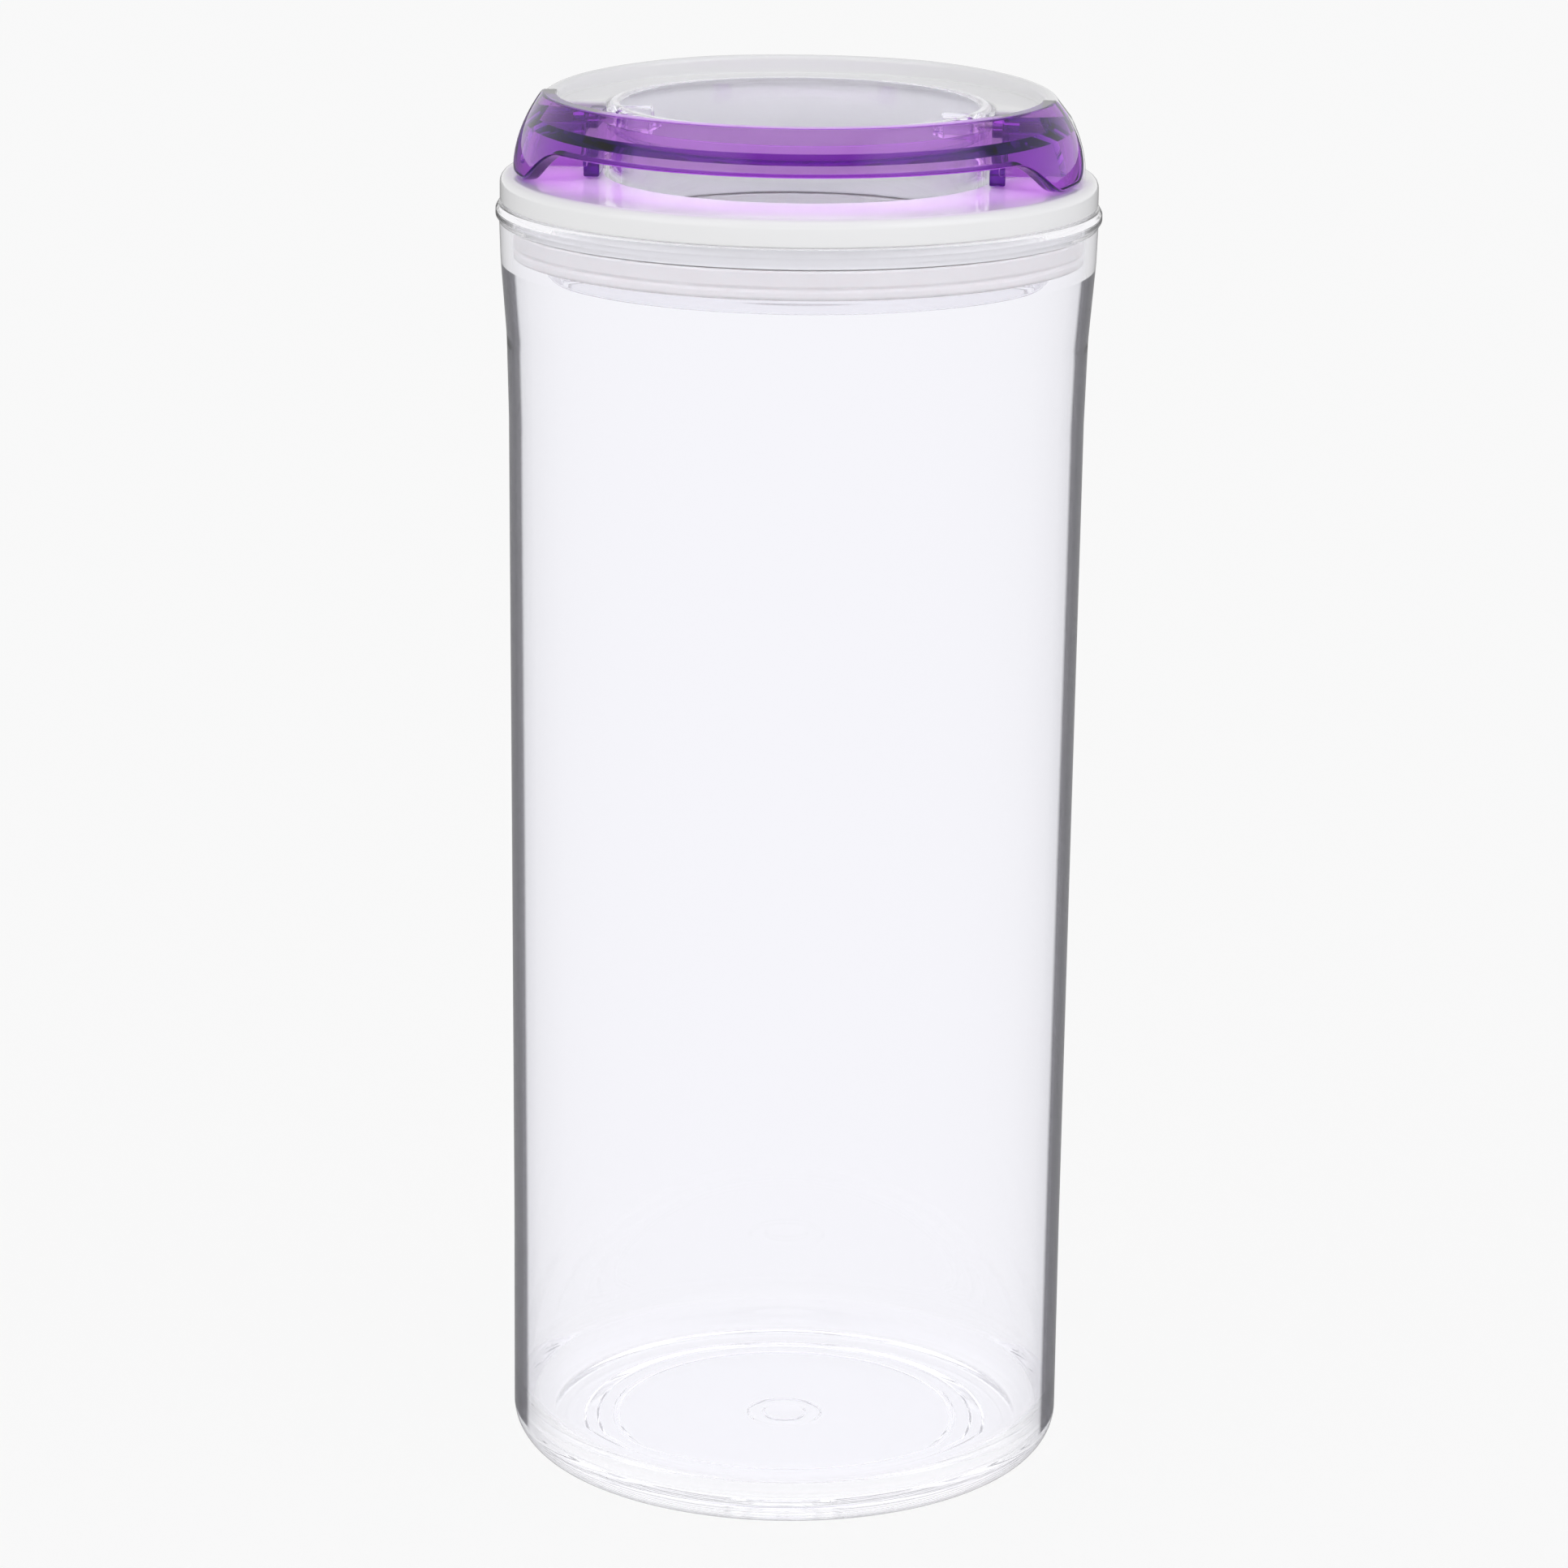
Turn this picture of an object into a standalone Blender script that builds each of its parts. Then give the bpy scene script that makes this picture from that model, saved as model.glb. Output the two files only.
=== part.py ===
"""Food canister: clear cylindrical jar with a flip-handle locking lid.

The origin is the centre of the foot, on the surface it stands on. +Z is up, and the finger side of
the flip handle faces -Y, so the handle's hinge runs along X. Lengths are in millimetres and are
turned into metres when a mesh is made.
"""
import math

import bmesh
import bpy

MM = 0.001
SEGMENTS = 64
PIN_SEGMENTS = 20
CLEARANCE = 0.3
CUT_REACH = 70.0
CUT_LOW_Z = 190.0
CUT_HIGH_Z = 250.0

# Jar
JAR_BASE_R = 47.2
JAR_MID_R = 47.5
JAR_UPPER_R = 47.8
JAR_MOUTH_R = 49.4
JAR_BEAD_R = 50.0
JAR_HEIGHT = 216.2
JAR_BEAD_Z = 214.5
JAR_MOUTH_Z = 207.0
JAR_NECK_Z = 185.0
JAR_MID_Z = 110.0
JAR_UPPER_Z = 170.0
JAR_LOW_Z = 40.0
JAR_FOOT_FILLET = 8.5
JAR_FLOOR_Z = 3.2
JAR_FLOOR_FILLET = 9.0
JAR_BASE_INNER_R = 45.7
JAR_UPPER_INNER_R = 46.0
JAR_MOUTH_INNER_R = 47.3
FOOT_INNER_R = 35.1
FOOT_RECESS_R = 32.7
FOOT_RECESS = 1.2

# Lid cover: side ring, low front deck, raised rear block
COVER_R = 49.3
COVER_BOTTOM_Z = JAR_HEIGHT + CLEARANCE
DECK_Z = 220.9
COVER_SHOULDER = 1.5
COVER_WALL = 2.2
SKIRT_R = 46.9
SKIRT_BOTTOM_Z = 212.9
BORE_R = 31.9
BORE_WALL = 2.3
BLOCK_FRONT_Y = -0.5
BLOCK_DECK_Z = 232.0
BLOCK_RIM_Z = 235.0
BLOCK_RIM_INNER_R = 40.1
BLOCK_RIM_WIDTH = 1.9

# Outer wall shared by the handle and the rear block: a parabola that leans in towards the top
FLARE_BASE_R = 47.1
FLARE_BASE_Z = 221.2
FLARE_CURVE = 0.0284
FLARE_STEPS = 7

# Press ring and silicone seal
PRESS_THICK = 2.1
SEAL_R = 46.9
SEAL_INNER_R = 32.2
SEAL_TOP_Z = 212.6
SEAL_BOTTOM_Z = 207.8
SEAL_LIP = 1.3

# Plunger: clear deep cup with a flange under the seal
CUP_R = 31.4
CUP_WALL = 2.0
CUP_RIM_Z = 232.6
CUP_FLOOR_Z = 207.3
CUP_FLOOR_FILLET = 5.0
FLANGE_R = 41.5
FLANGE_TOP_Z = 207.5
FLANGE_BOTTOM_Z = 204.8

# Hinge: the handle turns on two pins held in bosses of the cup
HINGE_Y = -7.5
HINGE_Z = 229.5
PIN_R = 1.0
PIN_HOLE_R = 1.2
PIN_INNER_X = 27.6
PIN_OUTER_X = 33.8
BOSS_R = 2.9
BOSS_INNER_X = 26.4
BOSS_OUTER_X = 31.4

# Handle
HANDLE_TOP_Z = 234.2
HANDLE_WALL = 2.7
HANDLE_EDGE = 0.7
HANDLE_LIP_Z = 226.9
HANDLE_FOOT_Z = DECK_Z + CLEARANCE
ARCH_START_Y = -27.0
ARCH_END_Y = -15.5
ARCH_STEPS = 8
WEB_INNER_R = 33.5
WEB_TOP_Z = 229.9
WEB_BOTTOM_Z = 228.2
CAM_INNER_X = 31.8
CAM_OUTER_X = 34.4
CAM_FRONT_Y = -12.0
CAM_TOP_Z = 231.4
CAM_DROP = 1.8
CAM_STEPS = 12
CAM_LOW_R = HINGE_Z - HANDLE_FOOT_Z
RIB_FRONT_Y = -14.5
RIB_REAR_Y = -12.2
RIB_BOTTOM_Z = 223.2
END_BLOCK_REAR_Y = -3.0
END_BLOCK_FRONT_TOP_Z = 232.2
END_BLOCK_REAR_TOP_Z = 230.6

CLEAR = (0.93, 0.94, 0.97, 1.0)
WHITE = (0.88, 0.88, 0.88, 1.0)
SILICONE = (0.78, 0.76, 0.76, 1.0)
PURPLE = (0.28, 0.05, 0.45, 1.0)
STEEL = (0.6, 0.6, 0.62, 1.0)


def clear_scene():
    for old in list(bpy.data.objects):
        bpy.data.objects.remove(old, do_unlink=True)


def material(name, colour, roughness, metallic=0.0, transmission=0.0):
    made = bpy.data.materials.new(name)
    made.use_nodes = True
    shader = made.node_tree.nodes["Principled BSDF"]
    shader.inputs["Base Color"].default_value = colour
    shader.inputs["Roughness"].default_value = roughness
    shader.inputs["Metallic"].default_value = metallic
    shader.inputs["Transmission Weight"].default_value = transmission
    return made


def solid(name, points, faces, finish=None):
    """Mesh object from points in millimetres; a cutter has no finish and is hidden."""
    mesh = bpy.data.meshes.new(name)
    mesh.from_pydata([[MM * value for value in point] for point in points], [], faces)
    mesh.validate()
    made = bpy.data.objects.new(name, mesh)
    bpy.context.scene.collection.objects.link(made)
    if finish is None:
        made.hide_render = True
        made.display_type = "WIRE"
        return made
    mesh.materials.append(finish)
    mesh.shade_smooth()
    mesh.set_sharp_from_angle(angle=math.radians(35.0))
    return made


def turned(name, profile, finish=None):
    """Solid of revolution about Z from a closed (r, z) outline that runs down the outer side."""
    points = []
    rings = []
    for r, z in profile:
        if r <= 0.0:
            rings.append([len(points)] * SEGMENTS)
            points.append((0.0, 0.0, z))
            continue
        rings.append(list(range(len(points), len(points) + SEGMENTS)))
        for step in range(SEGMENTS):
            turn = 2.0 * math.pi * step / SEGMENTS
            points.append((r * math.cos(turn), r * math.sin(turn), z))
    faces = []
    for index, ring in enumerate(rings):
        below = rings[(index + 1) % len(rings)]
        for step in range(SEGMENTS):
            after = (step + 1) % SEGMENTS
            corners = [ring[step], below[step], below[after], ring[after]]
            corners = [c for i, c in enumerate(corners) if c not in corners[:i]]
            if len(corners) > 2:
                faces.append(corners)
    return solid(name, points, faces, finish)


def prism(name, outline, along, low, high, finish=None):
    """Outline of 2-D points extruded along X or Z between low and high."""
    count = len(outline)
    if along == "X":
        points = [(at, a, b) for at in (low, high) for a, b in outline]
    else:
        points = [(a, b, at) for at in (low, high) for a, b in outline]
    faces = [list(range(count))[::-1], list(range(count, 2 * count))]
    for index in range(count):
        after = (index + 1) % count
        faces.append([index, after, count + after, count + index])
    made = solid(name, points, faces, finish)
    face_out(made.data)
    return made


def face_out(mesh):
    work = bmesh.new()
    work.from_mesh(mesh)
    bmesh.ops.recalc_face_normals(work, faces=work.faces)
    work.to_mesh(mesh)
    work.free()


def block(name, x_span, y_span, z_span):
    y_low, y_high = y_span
    z_low, z_high = z_span
    outline = [(y_low, z_low), (y_high, z_low), (y_high, z_high), (y_low, z_high)]
    return prism(name, outline, "X", *x_span)


def rod_outline(y, z, radius):
    turns = [2.0 * math.pi * step / PIN_SEGMENTS for step in range(PIN_SEGMENTS)]
    return [(y + radius * math.cos(turn), z + radius * math.sin(turn)) for turn in turns]


def combine(target, operation, other):
    step = target.modifiers.new(operation.title() + " " + other.name, "BOOLEAN")
    step.operation = operation
    step.object = other
    step.solver = "EXACT"


def arc(centre, radius, start, end, steps):
    """Points on an arc, angles in degrees, both ends included."""
    turns = [math.radians(start + (end - start) * step / steps) for step in range(steps + 1)]
    return [(centre[0] + radius * math.cos(turn), centre[1] + radius * math.sin(turn)) for turn in turns]


def flare_radius(z, inset=0.0):
    return FLARE_BASE_R - FLARE_CURVE * (z - FLARE_BASE_Z) ** 2 - inset


def flare_wall(top, bottom, steps, inset=0.0):
    """Points down the leaning outer wall, from top to bottom."""
    heights = [top + (bottom - top) * step / steps for step in range(steps + 1)]
    return [(flare_radius(z, inset), z) for z in heights]


def make_jar(finish):
    outer = [(JAR_MOUTH_R - 0.1, JAR_HEIGHT), (JAR_MOUTH_R + 0.4, JAR_HEIGHT - 0.7)]
    outer += [(JAR_BEAD_R, JAR_BEAD_Z), (JAR_MOUTH_R, JAR_BEAD_Z - 2.0)]
    outer += [(JAR_MOUTH_R - 0.2, JAR_MOUTH_Z)]
    outer += [(JAR_UPPER_R + 0.5, JAR_NECK_Z + 11.0), (JAR_UPPER_R + 0.1, JAR_NECK_Z)]
    outer += [(JAR_UPPER_R, JAR_UPPER_Z), (JAR_MID_R, JAR_MID_Z), (JAR_BASE_R, JAR_LOW_Z)]
    fillet_centre = (JAR_BASE_R - JAR_FOOT_FILLET, JAR_FOOT_FILLET)
    outer += arc(fillet_centre, JAR_FOOT_FILLET, 0.0, -90.0, 5)
    base = [(FOOT_INNER_R, 0.0), (FOOT_RECESS_R, FOOT_RECESS), (0.0, FOOT_RECESS)]
    floor_centre = (JAR_BASE_INNER_R - JAR_FLOOR_FILLET, JAR_FLOOR_Z + JAR_FLOOR_FILLET)
    inner = [(0.0, JAR_FLOOR_Z)]
    inner += arc(floor_centre, JAR_FLOOR_FILLET, -90.0, 0.0, 5)
    inner += [(JAR_UPPER_INNER_R, JAR_UPPER_Z), (JAR_UPPER_INNER_R + 0.2, JAR_NECK_Z)]
    inner += [(JAR_MOUTH_INNER_R - 0.1, JAR_MOUTH_Z - 4.0), (JAR_MOUTH_INNER_R, JAR_HEIGHT - 0.4)]
    return turned("jar_body", outer + base + inner, finish)


def block_profile():
    """Closed outline of the cover as if its rear block went all the way round."""
    crest = [(BLOCK_RIM_INNER_R, BLOCK_DECK_Z), (BLOCK_RIM_INNER_R + 0.2, BLOCK_RIM_Z - 0.6)]
    crest += [(BLOCK_RIM_INNER_R + 0.8, BLOCK_RIM_Z)]
    crest += [(BLOCK_RIM_INNER_R + BLOCK_RIM_WIDTH, BLOCK_RIM_Z - 0.2)]
    crest += flare_wall(BLOCK_RIM_Z - 1.2, FLARE_BASE_Z, 6)
    side = [(FLARE_BASE_R, DECK_Z), (COVER_R - COVER_SHOULDER, DECK_Z)]
    side += arc((COVER_R - COVER_SHOULDER, DECK_Z - COVER_SHOULDER), COVER_SHOULDER, 60.0, 0.0, 2)
    side += [(COVER_R, COVER_BOTTOM_Z), (SKIRT_R, COVER_BOTTOM_Z), (SKIRT_R, SKIRT_BOTTOM_Z)]
    under = [(BORE_R, SKIRT_BOTTOM_Z), (BORE_R, BLOCK_DECK_Z)]
    return crest + side + under


def make_cover(finish):
    cover = turned("lid_cover", block_profile(), finish)
    cut_depth = (-CUT_REACH, BLOCK_FRONT_Y)
    front = block("front_clearance", (-CUT_REACH, CUT_REACH), cut_depth, (DECK_Z, CUT_HIGH_Z))
    combine(cover, "DIFFERENCE", front)
    low_top = DECK_Z - COVER_WALL
    inner_r = BORE_R + BORE_WALL
    low_r = SKIRT_R - COVER_WALL
    low = [(low_r, low_top), (low_r, CUT_LOW_Z), (inner_r, CUT_LOW_Z), (inner_r, low_top)]
    combine(cover, "DIFFERENCE", turned("low_hollow", low))
    high_top = BLOCK_DECK_Z - COVER_WALL
    high = flare_wall(high_top, low_top - 1.0, 3, inset=COVER_WALL + 0.8)
    high += [(inner_r + 0.4, low_top - 1.0), (inner_r + 0.4, high_top)]
    hollow = turned("block_hollow", high)
    keep_depth = (-CUT_REACH, BLOCK_FRONT_Y + COVER_WALL)
    keep = block("block_hollow_front", (-CUT_REACH, CUT_REACH), keep_depth, (CUT_LOW_Z, CUT_HIGH_Z))
    combine(hollow, "DIFFERENCE", keep)
    combine(cover, "DIFFERENCE", hollow)
    return cover


def make_press_ring(finish):
    """White ring inside the skirt that closes the lid from below and squeezes the seal."""
    outer_r = SKIRT_R - COVER_WALL - CLEARANCE
    top = SKIRT_BOTTOM_Z + PRESS_THICK
    inner_r = BORE_R + BORE_WALL + CLEARANCE
    profile = [(outer_r, top), (outer_r, SKIRT_BOTTOM_Z + 0.1), (inner_r, SKIRT_BOTTOM_Z + 0.1)]
    profile += [(inner_r, top)]
    return turned("press_ring", profile, finish)


def make_seal(finish):
    """Silicone ring with two lips against the jar's wall."""
    middle = 0.5 * (SEAL_TOP_Z + SEAL_BOTTOM_Z)
    groove_r = SEAL_R - SEAL_LIP
    profile = [(SEAL_R - 0.4, SEAL_TOP_Z), (SEAL_R, SEAL_TOP_Z - 0.5), (SEAL_R, middle + 0.6)]
    profile += [(groove_r, middle), (SEAL_R, middle - 0.6), (SEAL_R, SEAL_BOTTOM_Z + 0.5)]
    profile += [(SEAL_R - 0.4, SEAL_BOTTOM_Z), (SEAL_INNER_R, SEAL_BOTTOM_Z), (SEAL_INNER_R, SEAL_TOP_Z)]
    return turned("seal_ring", profile, finish)


def make_plunger(finish):
    inner_r = CUP_R - CUP_WALL
    profile = [(CUP_R - 0.5, CUP_RIM_Z), (CUP_R, CUP_RIM_Z - 0.5), (CUP_R, FLANGE_TOP_Z)]
    profile += [(FLANGE_R - 0.4, FLANGE_TOP_Z), (FLANGE_R, FLANGE_TOP_Z - 0.4)]
    profile += [(FLANGE_R, FLANGE_BOTTOM_Z + 0.4), (FLANGE_R - 0.4, FLANGE_BOTTOM_Z)]
    profile += [(0.0, FLANGE_BOTTOM_Z), (0.0, CUP_FLOOR_Z)]
    fillet_centre = (inner_r - CUP_FLOOR_FILLET, CUP_FLOOR_Z + CUP_FLOOR_FILLET)
    profile += arc(fillet_centre, CUP_FLOOR_FILLET, -90.0, 0.0, 4)
    profile += [(inner_r, CUP_RIM_Z - 0.5), (inner_r + 0.5, CUP_RIM_Z)]
    plunger = turned("plunger", profile, finish)
    for side, label in ((-1.0, "left"), (1.0, "right")):
        boss_span = sorted((side * BOSS_INNER_X, side * BOSS_OUTER_X))
        boss = prism("boss_" + label, rod_outline(HINGE_Y, HINGE_Z, BOSS_R), "X", *boss_span)
        combine(plunger, "UNION", boss)
    for side, label in ((-1.0, "left"), (1.0, "right")):
        hole_span = sorted((side * (PIN_INNER_X - CLEARANCE), side * CUP_R))
        hole = prism("boss_hole_" + label, rod_outline(HINGE_Y, HINGE_Z, PIN_HOLE_R), "X", *hole_span)
        combine(plunger, "DIFFERENCE", hole)
    return plunger


def cam_outline():
    """Rear of the handle's side view: the cam from below the hinge to behind it, then a round heel.

    The cam's reach shrinks evenly by CAM_DROP over the quarter turn, so the hinge sinks as the
    handle comes up and the cam stays on the deck.
    """
    outline = []
    slope = -CAM_DROP / (0.5 * math.pi)
    for step in range(CAM_STEPS + 1):
        turn = 0.5 * math.pi * step / CAM_STEPS
        reach = CAM_LOW_R + slope * turn
        back = reach * math.sin(turn) + slope * math.cos(turn)
        down = reach * math.cos(turn) - slope * math.sin(turn)
        outline.append((HINGE_Y + back, HINGE_Z - down))
    heel_r = CAM_LOW_R - CAM_DROP
    heel_turn = math.degrees(math.asin((HANDLE_TOP_Z + 0.2 - HINGE_Z) / heel_r))
    outline += arc((HINGE_Y, HINGE_Z), heel_r, 0.0, heel_turn, 6)
    return outline


def handle_side_view():
    """Side view of the whole handle: finger arch, feet, cams and heel."""
    arch_height = HANDLE_LIP_Z - HANDLE_FOOT_Z
    arch = []
    for step in range(ARCH_STEPS + 1):
        share = step / ARCH_STEPS
        drop = 0.5 - 0.5 * math.cos(math.pi * share)
        y = ARCH_START_Y + (ARCH_END_Y - ARCH_START_Y) * share
        arch.append((y, HANDLE_LIP_Z - arch_height * drop))
    outline = [(-CUT_REACH, HANDLE_LIP_Z)] + arch + cam_outline()
    outline += [(outline[-1][0], CUT_HIGH_Z), (-CUT_REACH, CUT_HIGH_Z)]
    return outline


def end_block_outline():
    """Solid corner between the cam and the handle's wall, standing on the web."""
    low_z = WEB_BOTTOM_Z + 0.3
    outline = [(RIB_FRONT_Y, low_z), (END_BLOCK_REAR_Y, low_z), (END_BLOCK_REAR_Y, END_BLOCK_REAR_TOP_Z)]
    return outline + [(RIB_FRONT_Y, END_BLOCK_FRONT_TOP_Z)]


def make_handle(finish):
    blank_z = HANDLE_FOOT_Z - 2.0
    wall = flare_wall(HANDLE_TOP_Z - HANDLE_EDGE, blank_z, FLARE_STEPS)
    inner = flare_wall(HANDLE_TOP_Z - HANDLE_EDGE, blank_z, FLARE_STEPS, inset=HANDLE_WALL)
    top = flare_radius(HANDLE_TOP_Z)
    crest = [(top - HANDLE_WALL + HANDLE_EDGE, HANDLE_TOP_Z), (top - HANDLE_EDGE, HANDLE_TOP_Z)]
    handle = turned("handle", crest + wall + inner[::-1], finish)
    web_r = flare_radius(WEB_TOP_Z) - 0.5 * HANDLE_WALL
    web_outline = [(web_r, WEB_TOP_Z), (web_r, WEB_BOTTOM_Z)]
    web_outline += [(WEB_INNER_R, WEB_BOTTOM_Z), (WEB_INNER_R, WEB_TOP_Z)]
    web = turned("web", web_outline)
    combine(handle, "UNION", web)
    core_wall = flare_wall(HANDLE_TOP_Z, blank_z, FLARE_STEPS, inset=0.5 * HANDLE_WALL)
    core = turned("handle_core", [(0.0, HANDLE_TOP_Z)] + core_wall + [(0.0, blank_z)])
    for side, label in ((-1.0, "left"), (1.0, "right")):
        cam_span = sorted((side * CAM_INNER_X, side * CAM_OUTER_X))
        cam = block("cam_" + label, cam_span, (CAM_FRONT_Y, 0.0), (blank_z, CAM_TOP_Z))
        combine(handle, "UNION", cam)
        rib_span = sorted((side * (CAM_OUTER_X - 1.0), side * CUT_REACH))
        rib_height = (RIB_BOTTOM_Z, WEB_BOTTOM_Z + 0.8)
        rib = block("rib_" + label, rib_span, (RIB_FRONT_Y, RIB_REAR_Y), rib_height)
        combine(rib, "INTERSECT", core)
        combine(handle, "UNION", rib)
        end_block = prism("end_block_" + label, end_block_outline(), "X", *rib_span)
        combine(end_block, "INTERSECT", core)
        combine(handle, "UNION", end_block)
    combine(handle, "INTERSECT", prism("side_view", handle_side_view(), "X", -CUT_REACH, CUT_REACH))
    hole_outline = rod_outline(HINGE_Y, HINGE_Z, PIN_HOLE_R)
    hole = prism("pin_holes", hole_outline, "X", -CAM_OUTER_X - 1.0, CAM_OUTER_X + 1.0)
    combine(handle, "DIFFERENCE", hole)
    return handle


def make_pin(name, side, finish):
    span = sorted((side * PIN_INNER_X, side * PIN_OUTER_X))
    return prism(name, rod_outline(HINGE_Y, HINGE_Z, PIN_R), "X", span[0], span[1], finish)


def put_origin(moved, x, y, z):
    """Move an object's origin to a point, in millimetres, with its shape left where it is."""
    for vertex in moved.data.vertices:
        vertex.co.x -= x * MM
        vertex.co.y -= y * MM
        vertex.co.z -= z * MM
    moved.location = (x * MM, y * MM, z * MM)


def build():
    clear_scene()
    clear = material("clear_acrylic", CLEAR, 0.03, transmission=1.0)
    white = material("white_plastic", WHITE, 0.2)
    silicone = material("silicone", SILICONE, 0.45)
    purple = material("purple_acrylic", PURPLE, 0.05, transmission=0.8)
    steel = material("pin_steel", STEEL, 0.3, metallic=1.0)
    make_jar(clear)
    make_cover(white)
    make_press_ring(white)
    make_seal(silicone)
    make_plunger(clear)
    handle = make_handle(purple)
    put_origin(handle, 0.0, HINGE_Y, HINGE_Z)
    make_pin("hinge_pin_left", -1.0, steel)
    make_pin("hinge_pin_right", 1.0, steel)


build()
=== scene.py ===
"""Looks of the food canister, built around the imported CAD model.

Lengths in the outlines are millimetres in the CAD frame: z = 0 is the surface the canister stands
on, and the finger side of the handle faces -Y. The main sizes are read from the frame.
"""
import math

import bmesh
import bpy
from mathutils import Matrix, Vector


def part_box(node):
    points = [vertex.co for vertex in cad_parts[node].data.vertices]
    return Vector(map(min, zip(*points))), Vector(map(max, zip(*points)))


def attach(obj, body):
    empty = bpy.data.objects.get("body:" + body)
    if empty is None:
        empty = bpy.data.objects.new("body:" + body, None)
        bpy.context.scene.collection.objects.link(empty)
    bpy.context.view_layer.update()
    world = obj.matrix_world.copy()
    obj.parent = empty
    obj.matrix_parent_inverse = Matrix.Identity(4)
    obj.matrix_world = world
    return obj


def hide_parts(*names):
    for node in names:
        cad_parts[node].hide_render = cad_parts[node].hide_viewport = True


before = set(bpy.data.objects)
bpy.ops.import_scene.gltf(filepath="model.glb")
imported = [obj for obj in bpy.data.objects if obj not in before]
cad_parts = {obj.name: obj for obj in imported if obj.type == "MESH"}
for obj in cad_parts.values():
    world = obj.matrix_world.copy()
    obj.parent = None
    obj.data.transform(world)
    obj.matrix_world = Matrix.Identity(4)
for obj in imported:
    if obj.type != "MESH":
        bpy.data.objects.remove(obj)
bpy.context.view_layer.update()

MM = 0.001
TURN_STEPS = 256
ROUND_STEPS = 6
WIDE_ROUND_STEPS = 20
WIDE_ROUND = 4.0
ROUND_SHARE = 0.48
SMOOTH_ANGLE = math.radians(32.0)
BEVEL_ANGLE = math.radians(40.0)
MIDDLE_R = 44.5
CUT_REACH = 70.0
CUT_LOW = 200.0
CUT_HIGH = 250.0

# ---------------------------------------------------------------- sizes from the frame
jar_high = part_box("jar_body")[1] / MM
cover_low, cover_high = [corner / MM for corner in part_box("lid_cover")]
cup_low, cup_high = [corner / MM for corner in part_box("plunger")]
seal_low, seal_high = [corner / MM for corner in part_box("seal_ring")]
press_low, press_high = [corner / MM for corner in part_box("press_ring")]
handle_low, handle_high = [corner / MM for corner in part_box("handle")]
pin_low, pin_high = [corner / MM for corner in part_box("hinge_pin_right")]

BEAD_R = jar_high.x
JAR_TOP = jar_high.z
WALL_R = 46.6
WALL_LOW = 6.0
WALL_HIGH = 204.0
COVER_R = cover_high.x
COVER_TOP = cover_high.z
SKIRT_LOW = cover_low.z
COVER_SEAT = JAR_TOP + 0.3
DECK = COVER_SEAT + 4.4
SKIRT_R = seal_high.x
HOLLOW_R = 44.7
HOLLOW_INNER = 34.2
HOLLOW_TOP = 218.7
HOLLOW_LOW = 205.0
BORE_R = 31.9
PRESS_INNER = 34.5
SEAL_INNER = 32.2
BLOCK_DECK = COVER_TOP - 3.0
BLOCK_FRONT = -0.5
RIM_INNER = 40.1
RIM_OUTER = 42.0
RIM_SHOULDER = 2.2
WALL_STEPS = 10
RIM_DROP = 1.3
FLARE_R = 47.1
FLARE_Z = 221.2
FLARE_CURVE = 0.0284

CUP_R = 31.4
CUP_RIM = cup_high.z
FLANGE_R = cup_high.x
FLANGE_LOW = cup_low.z
CUP_WALL = 2.0
BOSS_R = 2.9
BOSS_END = 23.5
FIN_THICK = 0.9
FIN_DEPTH = 7.5
FIN_LEANS = (-50.0, 0.0, 50.0)
CUP_FLOOR = 207.3
FLANGE_TOP = 207.5
HOLE_GAP = 0.2

HANDLE_TOP = handle_high.z
HANDLE_FOOT = handle_low.z
HANDLE_REAR = handle_high.y
HANDLE_LIP = HANDLE_FOOT + 5.7
HANDLE_WALL = 2.7
HINGE_Y = 0.5 * (pin_low.y + pin_high.y)
HINGE_Z = 0.5 * (pin_low.z + pin_high.z)
PIN_R = 0.5 * (pin_high.z - pin_low.z)
CAM_DROP = 1.8
CAM_TOP = 231.4
CAM_FRONT = -12.0
CAM_REACH = HINGE_Z - HANDLE_FOOT
HEEL_R = CAM_REACH - CAM_DROP
WEB_TOP = 229.9
WEB_LOW = 228.2
WEB_INNER = 33.5


# ---------------------------------------------------------------- mesh helpers
def mesh_object(name, points, faces):
    mesh = bpy.data.meshes.new(name)
    mesh.from_pydata([[MM * value for value in point] for point in points], [], faces)
    made = bpy.data.objects.new(name, mesh)
    bpy.context.scene.collection.objects.link(made)
    return made


def rounded(corners):
    """Closed outline from (r, z, rounding) corners; each rounded corner becomes a smooth curve."""
    outline = []
    count = len(corners)
    for index, (r, z, rounding) in enumerate(corners):
        corner = Vector((r, z))
        if rounding <= 0.0:
            outline.append(tuple(corner))
            continue
        before = Vector(corners[index - 1][:2]) - corner
        after = Vector(corners[(index + 1) % count][:2]) - corner
        half = 0.5 * before.angle(after)
        room = ROUND_SHARE * min(before.length, after.length)
        reach = min(rounding / math.tan(half), room)
        radius = reach * math.tan(half)
        halfway = (before.normalized() + after.normalized()).normalized()
        centre = corner + halfway * (radius / math.sin(half))
        first = corner + before.normalized() * reach - centre
        last = corner + after.normalized() * reach - centre
        sweep = first.angle_signed(last)
        steps = WIDE_ROUND_STEPS if rounding > WIDE_ROUND else ROUND_STEPS
        for step in range(steps + 1):
            turned_by = -sweep * step / steps
            spoke = Matrix.Rotation(turned_by, 2) @ first
            outline.append(tuple(centre + spoke))
    return outline


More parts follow.
